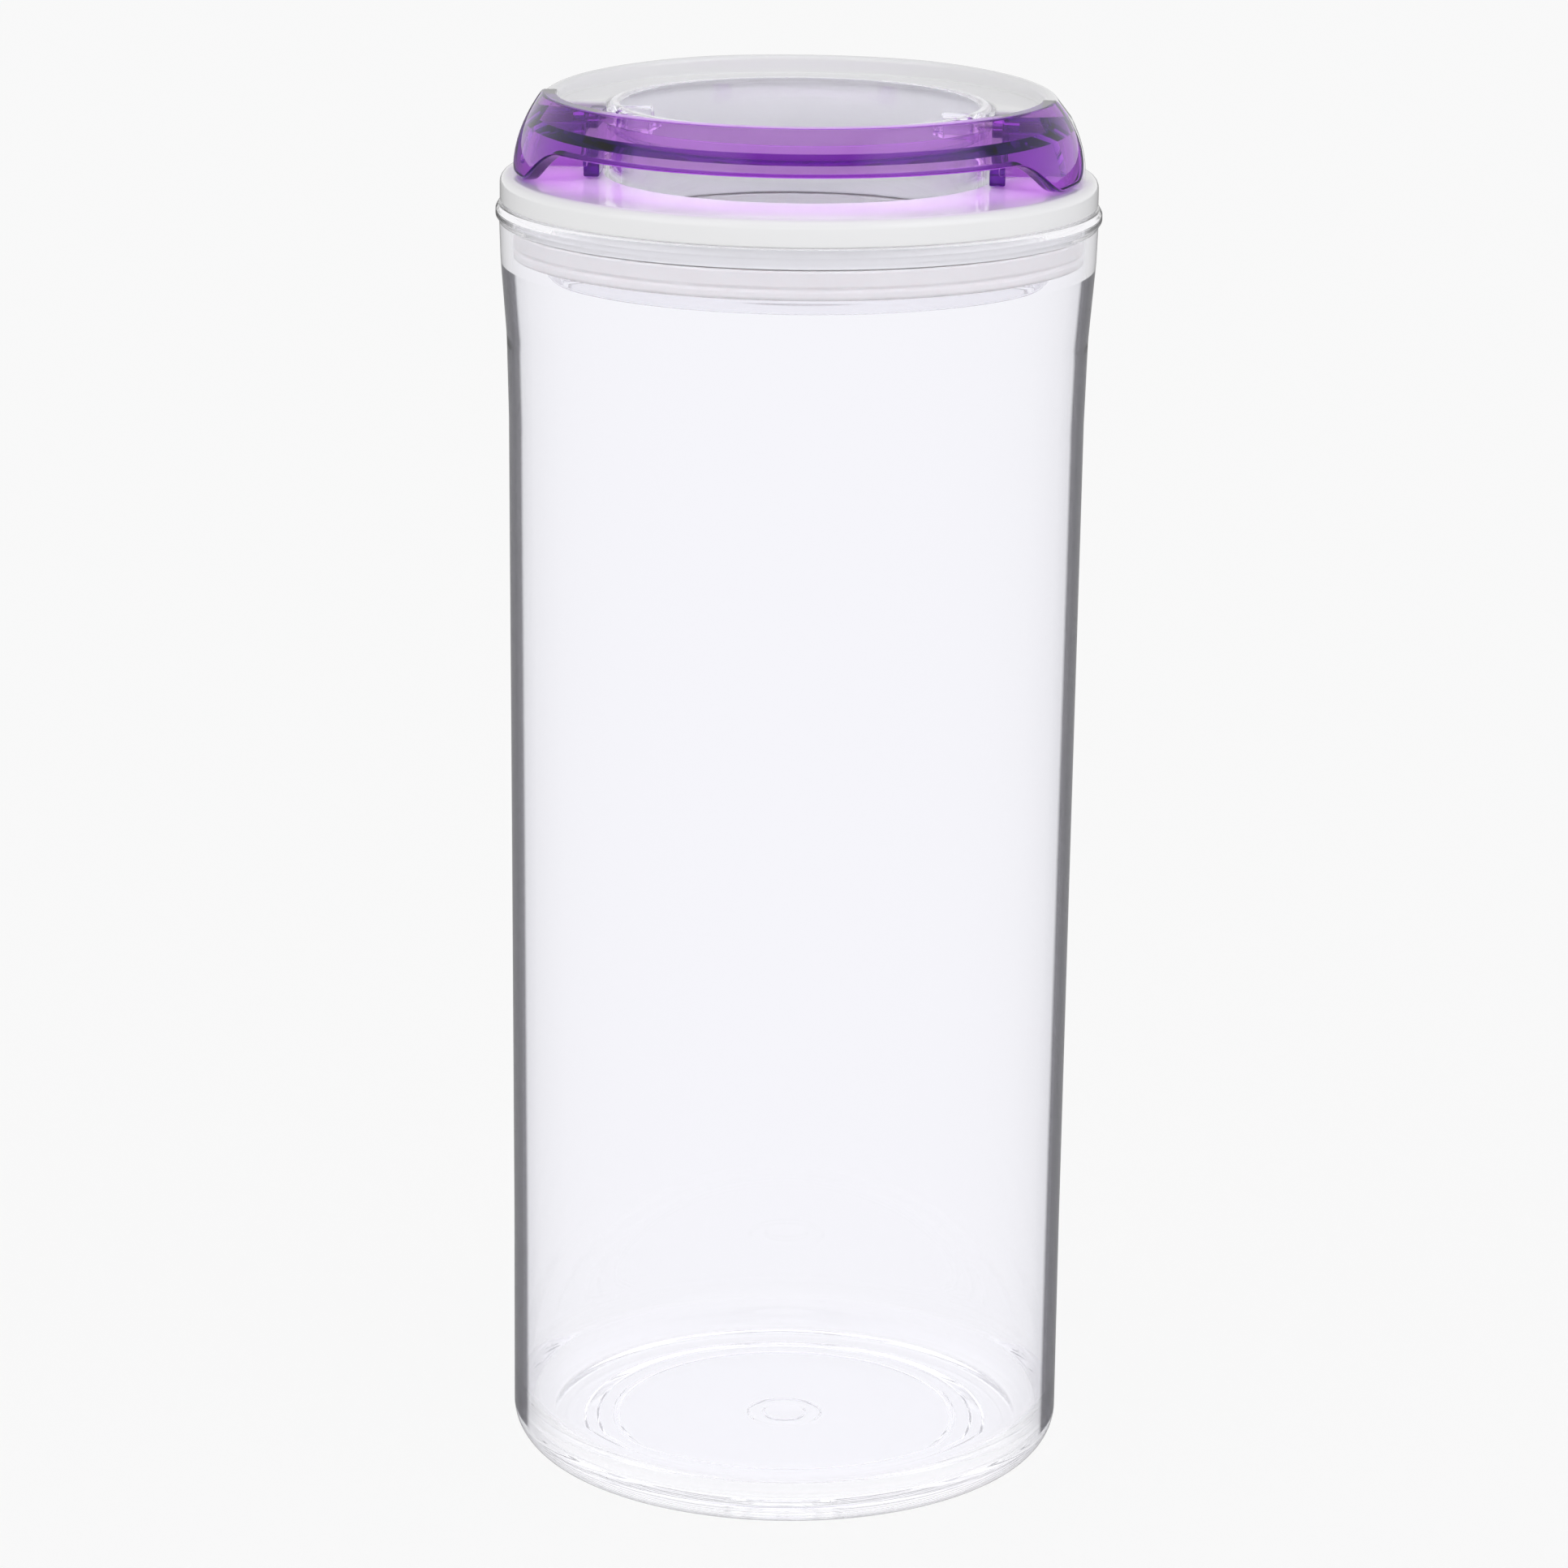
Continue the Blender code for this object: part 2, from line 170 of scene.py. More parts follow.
def turned(name, outline, steps=TURN_STEPS):
    """Closed solid of revolution; the outline runs down the outer side and up the inner one."""
    points = []
    rings = []
    for r, z in outline:
        if r <= 1e-6:
            rings.append([len(points)] * steps)
            points.append((0.0, 0.0, z))
            continue
        rings.append(list(range(len(points), len(points) + steps)))
        for step in range(steps):
            turn = 2.0 * math.pi * step / steps
            points.append((r * math.cos(turn), r * math.sin(turn), z))
    faces = []
    for index, ring in enumerate(rings):
        below = rings[(index + 1) % len(rings)]
        if ring[0] == ring[1] and below[0] == below[1]:
            continue
        for step in range(steps):
            after = (step + 1) % steps
            corners = [ring[step], below[step], below[after], ring[after]]
            faces.append([c for i, c in enumerate(corners) if c not in corners[:i]])
    return mesh_object(name, points, faces)


def half_ring(name, section, end_y, side, stations):
    """Half ring swept from one end face, at y = end_y, round to the other.

    section(y, inset) gives a closed (r, z) outline. side is +1 for the rear half and -1 for the
    front. A station is (angle, inset), its angle running from 0 at the right end to 180.
    """
    points = []
    size = None
    for angle, inset in stations:
        swing = math.sin(math.radians(angle))
        outline = section(end_y + side * (MIDDLE_R - side * end_y) * swing, inset)
        size = len(outline)
        for r, z in outline:
            y = end_y + side * (r - side * end_y) * swing
            x = math.sqrt(max(r * r - y * y, 0.0))
            points.append((x if angle <= 90.0 else -x, y, z))
    faces = [list(range(size))]
    for row in range(len(stations) - 1):
        for step in range(size):
            after = (step + 1) % size
            here = row * size
            there = here + size
            faces.append([here + step, there + step, there + after, here + after])
    last = (len(stations) - 1) * size
    faces.append(list(range(last, last + size))[::-1])
    made = mesh_object(name, points, faces)
    face_out(made)
    return made


def end_stations(radius, span=110):
    """Stations of a half ring: a few close to each end for its rounded edge, then even ones."""
    near = []
    for step in range(ROUND_STEPS + 1):
        turn = 0.5 * math.pi * step / ROUND_STEPS
        away = radius * (1.0 - math.cos(turn))
        near.append((math.degrees(math.asin(away / MIDDLE_R)), radius * (1.0 - math.sin(turn))))
    start = near[-1][0]
    even = [(start + (180.0 - 2.0 * start) * step / span, 0.0) for step in range(1, span)]
    return near + even + [(180.0 - angle, inset) for angle, inset in near[::-1]]


def face_out(made):
    work = bmesh.new()
    work.from_mesh(made.data)
    bmesh.ops.recalc_face_normals(work, faces=work.faces)
    work.to_mesh(made.data)
    work.free()


def prism(name, outline, low, high, bevel=0.0):
    """(y, z) outline extruded along X, its edges rounded where bevel is given."""
    count = len(outline)
    points = [(x, y, z) for x in (low, high) for y, z in outline]
    faces = [list(range(count))[::-1], list(range(count, 2 * count))]
    for index in range(count):
        after = (index + 1) % count
        faces.append([index, after, count + after, count + index])
    made = mesh_object(name, points, faces)
    face_out(made)
    if bevel > 0.0:
        edge = made.modifiers.new("Rounded edges", "BEVEL")
        edge.width = bevel * MM
        edge.segments = 3
        edge.limit_method = "ANGLE"
        edge.angle_limit = BEVEL_ANGLE
        apply_modifiers(made)
    return made


def apply_modifiers(made):
    bpy.context.view_layer.update()
    evaluated = made.evaluated_get(bpy.context.evaluated_depsgraph_get())
    mesh = bpy.data.meshes.new_from_object(evaluated)
    made.modifiers.clear()
    made.data = mesh


def combine(target, operation, other):
    """Boolean of two closed meshes, applied; the second one is used up."""
    step = target.modifiers.new(operation, "BOOLEAN")
    step.operation = operation
    step.object = other
    step.solver = "EXACT"
    apply_modifiers(target)
    bpy.data.objects.remove(other, do_unlink=True)


def finish_piece(piece, name, body, node, finish):
    piece.name = name
    piece.data.materials.clear()
    piece.data.materials.append(finish)
    piece.data.shade_smooth()
    piece.data.set_sharp_from_angle(angle=SMOOTH_ANGLE)
    weighted = piece.modifiers.new("Flat faces stay flat", "WEIGHTED_NORMAL")
    weighted.keep_sharp = True
    apply_modifiers(piece)
    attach(piece, body)
    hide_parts(node)


def arc(centre, radius, start, end, steps):
    turns = [math.radians(start + (end - start) * step / steps) for step in range(steps + 1)]
    return [(centre[0] + radius * math.cos(turn), centre[1] + radius * math.sin(turn)) for turn in turns]


def flare(z, inset=0.0):
    """Radius of the leaning outer wall that the handle and the rear block share."""
    return FLARE_R - FLARE_CURVE * (z - FLARE_Z) ** 2 - inset


# ---------------------------------------------------------------- node helpers
def nodes_of(name):
    made = bpy.data.materials.new(name)
    made.use_nodes = True
    tree = made.node_tree
    return made, tree, tree.nodes["Principled BSDF"]


def add(tree, kind, **inputs):
    node = tree.nodes.new(kind)
    for key, value in inputs.items():
        node.inputs[key.replace("_", " ")].default_value = value
    return node


def ramp(tree, source, stops):
    node = tree.nodes.new("ShaderNodeValToRGB")
    while len(node.color_ramp.elements) > 1:
        node.color_ramp.elements.remove(node.color_ramp.elements[-1])
    for index, (position, colour) in enumerate(stops):
        element = node.color_ramp.elements[0] if index == 0 else node.color_ramp.elements.new(position)
        element.position = position
        element.color = colour if len(colour) == 4 else (*colour, 1.0)
    tree.links.new(source, node.inputs["Fac"])
    return node.outputs["Color"]


def spread(tree, source, low, high):
    node = tree.nodes.new("ShaderNodeMapRange")
    node.inputs["To Min"].default_value = low
    node.inputs["To Max"].default_value = high
    tree.links.new(source, node.inputs["Value"])
    return node.outputs["Result"]


def noise(tree, scale, detail):
    place = tree.nodes.new("ShaderNodeTexCoord")
    node = add(tree, "ShaderNodeTexNoise", Scale=scale, Detail=detail)
    tree.links.new(place.outputs["Object"], node.inputs["Vector"])
    return node.outputs["Fac"]


def bump(tree, shader, height, distance):
    node = add(tree, "ShaderNodeBump", Distance=distance, Strength=1.0)
    tree.links.new(height, node.inputs["Height"])
    tree.links.new(node.outputs["Normal"], shader.inputs["Normal"])


# ---------------------------------------------------------------- materials
ACRYLIC_IOR = 1.49


def clear_plastic(name, painted_edge_shade=None):
    """Polished clear acrylic; a ramp of painted shade, when given, darkens its outer skin where it is seen
    edge on, standing in for the dark studio cards that the wall's edges would reflect and refract.
    """
    made, tree, shader = nodes_of(name)
    shader.inputs["Transmission Weight"].default_value = 1.0
    shader.inputs["IOR"].default_value = ACRYLIC_IOR
    shader.inputs["Base Color"].default_value = (0.975, 0.972, 1.0, 1.0)
    if painted_edge_shade:
        # painted shade: the skin's colour turns dark where the surface is seen edge on
        facing = add(tree, "ShaderNodeLayerWeight", Blend=0.5).outputs["Facing"]
        tree.links.new(ramp(tree, facing, painted_edge_shade), shader.inputs["Base Color"])
    tree.links.new(spread(tree, noise(tree, 60.0, 4.0), 0.0, 0.02), shader.inputs["Roughness"])
    bump(tree, shader, noise(tree, 28.0, 1.0), 0.00002)
    return made


def purple_plastic():
    made, tree, shader = nodes_of("purple_acrylic")
    shader.inputs["Transmission Weight"].default_value = 1.0
    shader.inputs["IOR"].default_value = ACRYLIC_IOR
    shader.inputs["Base Color"].default_value = (0.93, 0.78, 1.0, 1.0)
    tree.links.new(spread(tree, noise(tree, 90.0, 4.0), 0.0, 0.03), shader.inputs["Roughness"])
    bump(tree, shader, noise(tree, 40.0, 2.0), 0.00003)
    depth = add(tree, "ShaderNodeVolumeAbsorption", Color=(0.60, 0.02, 0.76, 1.0), Density=370.0)
    tree.links.new(depth.outputs["Volume"], tree.nodes["Material Output"].inputs["Volume"])
    return made


def white_plastic():
    made, tree, shader = nodes_of("white_plastic")
    shade = ramp(tree, noise(tree, 35.0, 3.0), [(0.3, (0.89, 0.89, 0.90)), (0.7, (0.91, 0.91, 0.915))])
    tree.links.new(shade, shader.inputs["Base Color"])
    shader.inputs["IOR"].default_value = ACRYLIC_IOR
    tree.links.new(spread(tree, noise(tree, 140.0, 4.0), 0.03, 0.08), shader.inputs["Roughness"])
    bump(tree, shader, noise(tree, 420.0, 3.0), 0.00001)
    return made


def silicone():
    made, tree, shader = nodes_of("silicone")
    shade = ramp(tree, noise(tree, 90.0, 3.0), [(0.3, (0.88, 0.855, 0.865)), (0.7, (0.90, 0.88, 0.885))])
    tree.links.new(shade, shader.inputs["Base Color"])
    shader.inputs["Subsurface Weight"].default_value = 0.2
    shader.inputs["Subsurface Radius"].default_value = (1.0, 0.8, 0.8)
    shader.inputs["Subsurface Scale"].default_value = 0.002
    tree.links.new(spread(tree, noise(tree, 300.0, 4.0), 0.35, 0.5), shader.inputs["Roughness"])
    bump(tree, shader, noise(tree, 900.0, 3.0), 0.00002)
    return made


def steel():
    made, tree, shader = nodes_of("pin_steel")
    shade = ramp(tree, noise(tree, 700.0, 3.0), [(0.3, (0.55, 0.55, 0.57)), (0.7, (0.68, 0.68, 0.69))])
    tree.links.new(shade, shader.inputs["Base Color"])
    shader.inputs["Metallic"].default_value = 1.0
    tree.links.new(spread(tree, noise(tree, 900.0, 4.0), 0.2, 0.4), shader.inputs["Roughness"])
    return made


# ---------------------------------------------------------------- pieces
def make_jar(skin, inside):
    """Jar turned from one outline; its outer wall has a skin material of its own, which carries the
    painted dark edge shade.
    """
    outer = [(47.3, JAR_TOP, 0.7), (BEAD_R - 0.65, JAR_TOP, 0.8), (BEAD_R, JAR_TOP - 1.1, 0.6)]
    outer += [(BEAD_R, JAR_TOP - 2.1, 0.6), (BEAD_R - 0.6, JAR_TOP - 3.0, 0.6), (49.2, 207.0, 30.0)]
    outer += [(48.2, 194.0, 40.0), (47.85, 180.0, 60.0), (47.8, 168.0, 0.0), (47.5, 110.0, 0.0)]
    outer += [(47.2, 40.0, 0.0), (47.2, 0.0, 8.5)]
    under = [(35.1, 0.0, 0.3), (34.6, 0.7, 0.3), (32.9, 0.9, 0.4), (32.4, 1.5, 0.3), (30.1, 1.5, 0.3)]
    under += [(29.5, 0.9, 0.4), (28.9, 1.5, 0.3), (6.6, 1.5, 0.2), (6.2, 2.1, 0.2), (3.9, 2.1, 0.2)]
    under += [(3.4, 1.6, 0.2), (0.0, 1.6, 0.0)]
    inner = [(0.0, 3.2, 0.0), (45.7, 3.2, 9.0), (45.7, 30.0, 0.0), (46.0, 170.0, 0.0), (46.2, 184.0, 60.0)]
    inner += [(46.9, 198.0, 40.0), (47.25, 206.0, 20.0)]
    jar = turned("jar", rounded(outer + under + inner))
    finish_piece(jar, "jar", "jar", "jar_body", skin)
    jar.data.materials.append(inside)
    for face in jar.data.polygons:
        middle = face.center / MM
        reach = math.hypot(middle.x, middle.y)
        outwards = face.normal.x * middle.x + face.normal.y * middle.y
        # outer wall faces get the skin with painted edge shade; all other faces stay plain clear
        wall = WALL_LOW < middle.z < WALL_HIGH and outwards > 0.0 and reach > WALL_R
        face.material_index = 0 if wall else 1


def block_section(y, inset):
    """Solid section of the rear block, its rim lower towards the ends, shrunk by inset for them."""
    low = DECK - 1.0
    crest = COVER_TOP - RIM_DROP * (1.0 - min(max(y / RIM_INNER, 0.0), 1.0))
    top = crest - inset
    deck = BLOCK_DECK - inset
    corners = [(BORE_R + inset, deck, 0.5), (RIM_INNER + inset, deck, 0.4)]
    corners += [(RIM_INNER + inset + 0.15, top, 0.9), (RIM_OUTER - inset, top, 1.3)]
    shoulder = crest - RIM_SHOULDER
    heights = [shoulder - (shoulder - low) * step / WALL_STEPS for step in range(1, WALL_STEPS + 1)]
    corners += [(flare(z, inset), z, 0.0) for z in heights]
    corners += [(BORE_R + inset, low, 0.0)]
    return rounded(corners)


def make_cover(finish):
    base = [(BORE_R, DECK, 0.5), (COVER_R, DECK, 1.6), (COVER_R, COVER_SEAT, 0.3)]
    base += [(SKIRT_R, COVER_SEAT, 0.0), (SKIRT_R, SKIRT_LOW, 0.4), (BORE_R, SKIRT_LOW, 0.4)]
    cover = turned("cover", rounded(base))
    rear = half_ring("rear_block", block_section, BLOCK_FRONT, 1, end_stations(0.6))
    combine(cover, "UNION", rear)
    hollow = [(HOLLOW_R, HOLLOW_TOP), (HOLLOW_R, HOLLOW_LOW)]
    hollow += [(HOLLOW_INNER, HOLLOW_LOW), (HOLLOW_INNER, HOLLOW_TOP)]
    combine(cover, "DIFFERENCE", turned("low_hollow", hollow))
    finish_piece(cover, "lid_shell", "lid", "lid_cover", finish)


def make_press_ring(finish):
    outline = [(press_high.x, press_high.z, 0.2), (press_high.x, press_low.z, 0.3)]
    outline += [(PRESS_INNER, press_low.z, 0.3), (PRESS_INNER, press_high.z, 0.2)]
    ring = turned("press_plate", rounded(outline))
    finish_piece(ring, "press_plate", "lid", "press_ring", finish)


def make_seal(finish):
    """Seal with a shallow groove between its two lips."""
    middle = 0.5 * (seal_low.z + seal_high.z)
    corners = [(SKIRT_R, seal_high.z, 0.5), (SKIRT_R, middle - 0.2, 0.5)]
    corners += [(SKIRT_R - 0.5, middle - 0.6, 0.5), (SKIRT_R, middle - 1.0, 0.5)]
    corners += [(SKIRT_R, seal_low.z, 0.8), (SEAL_INNER, seal_low.z, 0.3), (SEAL_INNER, seal_high.z, 0.3)]
    seal = turned("seal", rounded(corners))
    finish_piece(seal, "seal", "lid", "seal_ring", finish)


def rod(name, radius, low, high, bevel):
    outline = arc((HINGE_Y, HINGE_Z), radius, 0.0, 360.0, 40)[:-1]
    return prism(name, outline, low, high, bevel)


def boss_fin(side, lean):
    """Thin stiffening fin along a hinge boss, leaning from the vertical, deeper towards the wall."""
    wall_x = CUP_R - 0.9
    outline = [(BOSS_END - 1.5, -1.0), (wall_x, -1.0), (wall_x, FIN_DEPTH)]
    outline += [(BOSS_END + 1.5, BOSS_R + 0.2), (BOSS_END - 1.5, 1.5)]
    turn = math.radians(lean)
    count = len(outline)
    points = []
    for across in (-0.5 * FIN_THICK, 0.5 * FIN_THICK):
        for x, down in outline:
            y = HINGE_Y + across * math.cos(turn) + down * math.sin(turn)
            z = HINGE_Z + across * math.sin(turn) - down * math.cos(turn)
            points.append((side * x, y, z))
    faces = [list(range(count))[::-1], list(range(count, 2 * count))]
    for index in range(count):
        after = (index + 1) % count
        faces.append([index, after, count + after, count + index])
    fin = mesh_object("fin", points, faces)
    face_out(fin)
    return fin


def make_cup(finish):
    inner = CUP_R - CUP_WALL
    corners = [(CUP_R, CUP_RIM, 0.7), (CUP_R, FLANGE_TOP, 0.5), (FLANGE_R, FLANGE_TOP, 0.4)]
    corners += [(FLANGE_R, FLANGE_LOW, 0.4), (0.0, FLANGE_LOW, 0.0), (0.0, CUP_FLOOR, 0.0)]
    corners += [(inner, CUP_FLOOR, 5.0), (inner, CUP_RIM, 0.7)]
    cup = turned("cup", rounded(corners))
    for side in (-1.0, 1.0):
        boss = rod("boss", BOSS_R, *sorted((side * BOSS_END, side * (CUP_R - 0.6))), 0.4)
        combine(cup, "UNION", boss)
        for lean in FIN_LEANS:
            combine(cup, "UNION", boss_fin(side, lean))
        hole = rod("hole", PIN_R + HOLE_GAP, *sorted((side * (pin_low.x - 0.3), side * 40.0)), 0.0)
        combine(cup, "DIFFERENCE", hole)
    finish_piece(cup, "plunger_cup", "plunger", "plunger", finish)


def cam_curve(steps):
    """Cam below and behind the hinge; its reach shrinks evenly by CAM_DROP over a quarter turn."""
    slope = -CAM_DROP / (0.5 * math.pi)
    curve = []
    for step in range(steps + 1):
        turn = 0.5 * math.pi * step / steps
        reach = CAM_REACH + slope * turn
        back = reach * math.sin(turn) + slope * math.cos(turn)
        down = reach * math.cos(turn) - slope * math.sin(turn)
        curve.append((HINGE_Y + back, HINGE_Z - down))
    return curve


CAM = cam_curve(48)
ARCH_FRONT = -27.0
ARCH_REAR = -15.5


def handle_low_edge(y):
    """Height of the handle's lower edge, seen from the side: lip, finger arch, foot, cam."""
    if y <= ARCH_FRONT:
        return HANDLE_LIP
    if y <= ARCH_REAR:
        share = (y - ARCH_FRONT) / (ARCH_REAR - ARCH_FRONT)
        return HANDLE_LIP - (HANDLE_LIP - HANDLE_FOOT) * (0.5 - 0.5 * math.cos(math.pi * share))
    for (y0, z0), (y1, z1) in zip(CAM, CAM[1:]):
        if y0 <= y <= y1:
            return z0 + (z1 - z0) * (y - y0) / max(y1 - y0, 1e-6)
    return HANDLE_FOOT if y < CAM[0][0] else CAM[-1][1]


def handle_top_edge(y):
    back = y - HINGE_Y
    if back <= 0.0:
        return HANDLE_TOP
    return min(HANDLE_TOP, HINGE_Z + math.sqrt(max(HEEL_R ** 2 - back ** 2, 0.0)))


def band_section(y, inset):
    low = handle_low_edge(y) + inset
    top = handle_top_edge(y) - inset
    edge = min(0.75, 0.3 * (top - low))
    outer = []
    inner = []
    for step in range(1, WALL_STEPS):
        z = top + (low - top) * step / WALL_STEPS
        outer.append((flare(z, inset), z, 0.0))
        inner.append((flare(z, HANDLE_WALL - inset), z, 0.0))
    corners = [(flare(top, HANDLE_WALL - inset), top, edge), (flare(top, inset), top, edge)]
    corners += outer + [(flare(low, inset), low, edge), (flare(low, HANDLE_WALL - inset), low, edge)]
    return rounded(corners + inner[::-1])


RIB_FRONT = -14.5
RIB_REAR = -12.2
RIB_LOW = 223.2
RIB = [(RIB_FRONT, RIB_LOW), (RIB_REAR, RIB_LOW), (RIB_REAR, WEB_LOW + 0.8), (RIB_FRONT, WEB_LOW + 0.8)]
CORNER_REAR = -3.0
END_BLOCK = [(RIB_FRONT, WEB_LOW + 0.3), (CORNER_REAR, WEB_LOW + 0.3)]
END_BLOCK += [(CORNER_REAR, 230.6), (-6.0, 231.0), (RIB_FRONT, 232.2)]
CAM_SPAN = (31.8, 34.4)
CORNER_SPAN = (33.4, 60.0)


def make_web():
    """Flat web round the inside of the handle, in its front half only."""
    web_r = flare(WEB_TOP) - 0.5 * HANDLE_WALL
    outline = [(web_r, WEB_TOP, 0.0), (web_r, WEB_LOW, 0.0)]
    outline += [(WEB_INNER, WEB_LOW, 0.4), (WEB_INNER, WEB_TOP, 0.4)]
    web = turned("web", rounded(outline))
    rear = HANDLE_REAR - 0.3
    front = [(-CUT_REACH, CUT_LOW), (rear, CUT_LOW), (rear, CUT_HIGH), (-CUT_REACH, CUT_HIGH)]
    combine(web, "INTERSECT", prism("front_half", front, -CUT_REACH, CUT_REACH))
    return web


def make_core():
    """Everything within the middle of the handle's wall, to trim what joins the wall from inside."""
    wall = [(flare(z, 0.5 * HANDLE_WALL), z) for z in (234.0, 231.0, 228.0, 225.0, 222.0, 219.0)]
    return turned("core", [(0.0, HANDLE_TOP)] + wall + [(0.0, 219.0)])


def make_handle(finish):
    handle = half_ring("handle", band_section, HANDLE_REAR, -1, end_stations(0.5, 160))
    combine(handle, "UNION", make_web())
    heel_turn = math.degrees(math.asin((CAM_TOP - HINGE_Z) / HEEL_R))
    heel = arc((HINGE_Y, HINGE_Z), HEEL_R, 0.0, heel_turn, 6)
    side_view = [(CAM_FRONT, HANDLE_FOOT)] + cam_curve(16) + heel[1:] + [(CAM_FRONT, CAM_TOP)]
    for side in (-1.0, 1.0):
        cam = prism("cam", side_view, *sorted(side * x for x in CAM_SPAN), 0.5)
        combine(handle, "UNION", cam)
        for label, outline, bevel in (("rib", RIB, 0.4), ("end_block", END_BLOCK, 0.3)):
            part = prism(label, outline, *sorted(side * x for x in CORNER_SPAN), bevel)
            combine(part, "INTERSECT", make_core())
            combine(handle, "UNION", part)
    hole = rod("pin_holes", PIN_R + HOLE_GAP, -36.0, 36.0, 0.0)
    combine(handle, "DIFFERENCE", hole)
    finish_piece(handle, "flip_handle", "handle", "handle", finish)


def make_pins(finish):
    for side, label in ((-1.0, "left"), (1.0, "right")):
        pin = rod("pin_" + label, PIN_R, *sorted((side * pin_low.x, side * pin_high.x)), 0.3)
        finish_piece(pin, "pin_" + label, "plunger", "hinge_pin_" + label, finish)


# ---------------------------------------------------------------- stage
# Brightness seen directly and through plastic, level and from above, then what lights a matt
# surface through plastic, and then the floor's own levels
BACKDROP = 0.939
THROUGH = 0.955
THROUGH_ABOVE = 1.4
TO_MATT = 1.2
TO_MATT_ABOVE = 4.2
FLOOR_BY_REFLECTION = 0.16
FLOOR_BY_LIGHT = 0.85
FLOOR_BY_EYE = BACKDROP - 0.035
FLOOR_TOP = -0.05
FLOOR_LOW = -10.0
FLOOR_R = 6000.0
SKY = [(0.5, 0.9), (0.62, 0.75), (0.8, 0.5), (0.95, 0.55)]
SOFTBOXES = (((-0.9, -0.75, 0.75), 16.0, 30.0, (0.8, 0.8, 0.8)),
             ((1.0, -0.5, 0.7), 16.0, 30.0, (1.0, 1.0, 1.05)),
             ((0.0, -0.35, 1.0), 14.0, 28.0, (0.6, 0.6, 0.62)))


def grey(level):
    return (level, level, level, 1.0)


def make_floor():
    """Pale floor: it glows evenly like the backdrop, a little more where it is seen through plastic."""
    outline = [(0.0, FLOOR_TOP), (FLOOR_R, FLOOR_TOP), (FLOOR_R, FLOOR_LOW), (0.0, FLOOR_LOW)]
    floor = turned("floor", outline, 64)
    face_out(floor)
    made, tree, shader = nodes_of("pale_floor")
    shader.inputs["Base Color"].default_value = grey(0.05)
    shader.inputs["Roughness"].default_value = 1.0
    shader.inputs["Specular IOR Level"].default_value = 0.0
    shader.inputs["Emission Color"].default_value = grey(1.0)
    path = tree.nodes.new("ShaderNodeLightPath")
    level = choose(tree, path.outputs["Is Glossy Ray"], FLOOR_BY_LIGHT, FLOOR_BY_REFLECTION)
    behind = lit_through(tree, path, THROUGH, THROUGH * TO_MATT)
    level = choose(tree, path.outputs["Is Transmission Ray"], level, behind)
    level = choose(tree, path.outputs["Is Camera Ray"], level, FLOOR_BY_EYE)
    tree.links.new(level, shader.inputs["Emission Strength"])
    floor.data.materials.append(made)


def choose(tree, flag, otherwise, value):
    """value where the flag is set, otherwise the other one; each is a number or a socket."""
    node = tree.nodes.new("ShaderNodeMix")
    tree.links.new(flag, node.inputs["Factor"])
    for key, choice in (("A", otherwise), ("B", value)):
        if isinstance(choice, float):
            node.inputs[key].default_value = choice
        else:
            tree.links.new(choice, node.inputs[key])
    return node.outputs["Result"]


def lit_through(tree, path, level, to_matt):
    """Level seen through clear plastic, and the other one for what lights a matt surface behind it."""
    matt = tree.nodes.new("ShaderNodeMath")
    matt.operation = "MINIMUM"
    tree.links.new(path.outputs["Diffuse Depth"], matt.inputs[0])
    matt.inputs[1].default_value = 1.0
    return choose(tree, matt.outputs["Value"], level, to_matt)


def softbox(tree, direction, towards, inner, outer):
    """1 where the direction is within the inner angle of the box's middle, 0 outside the outer one."""
    node = tree.nodes.new("ShaderNodeVectorMath")
    node.operation = "DOT_PRODUCT"
    node.inputs[1].default_value = Vector(towards).normalized()
    tree.links.new(direction, node.inputs[0])
    edge = tree.nodes.new("ShaderNodeMapRange")
    edge.interpolation_type = "SMOOTHSTEP"
    edge.inputs["From Min"].default_value = math.cos(math.radians(outer))
    edge.inputs["From Max"].default_value = math.cos(math.radians(inner))
    tree.links.new(node.outputs["Value"], edge.inputs["Value"])
    return edge.outputs["Result"]


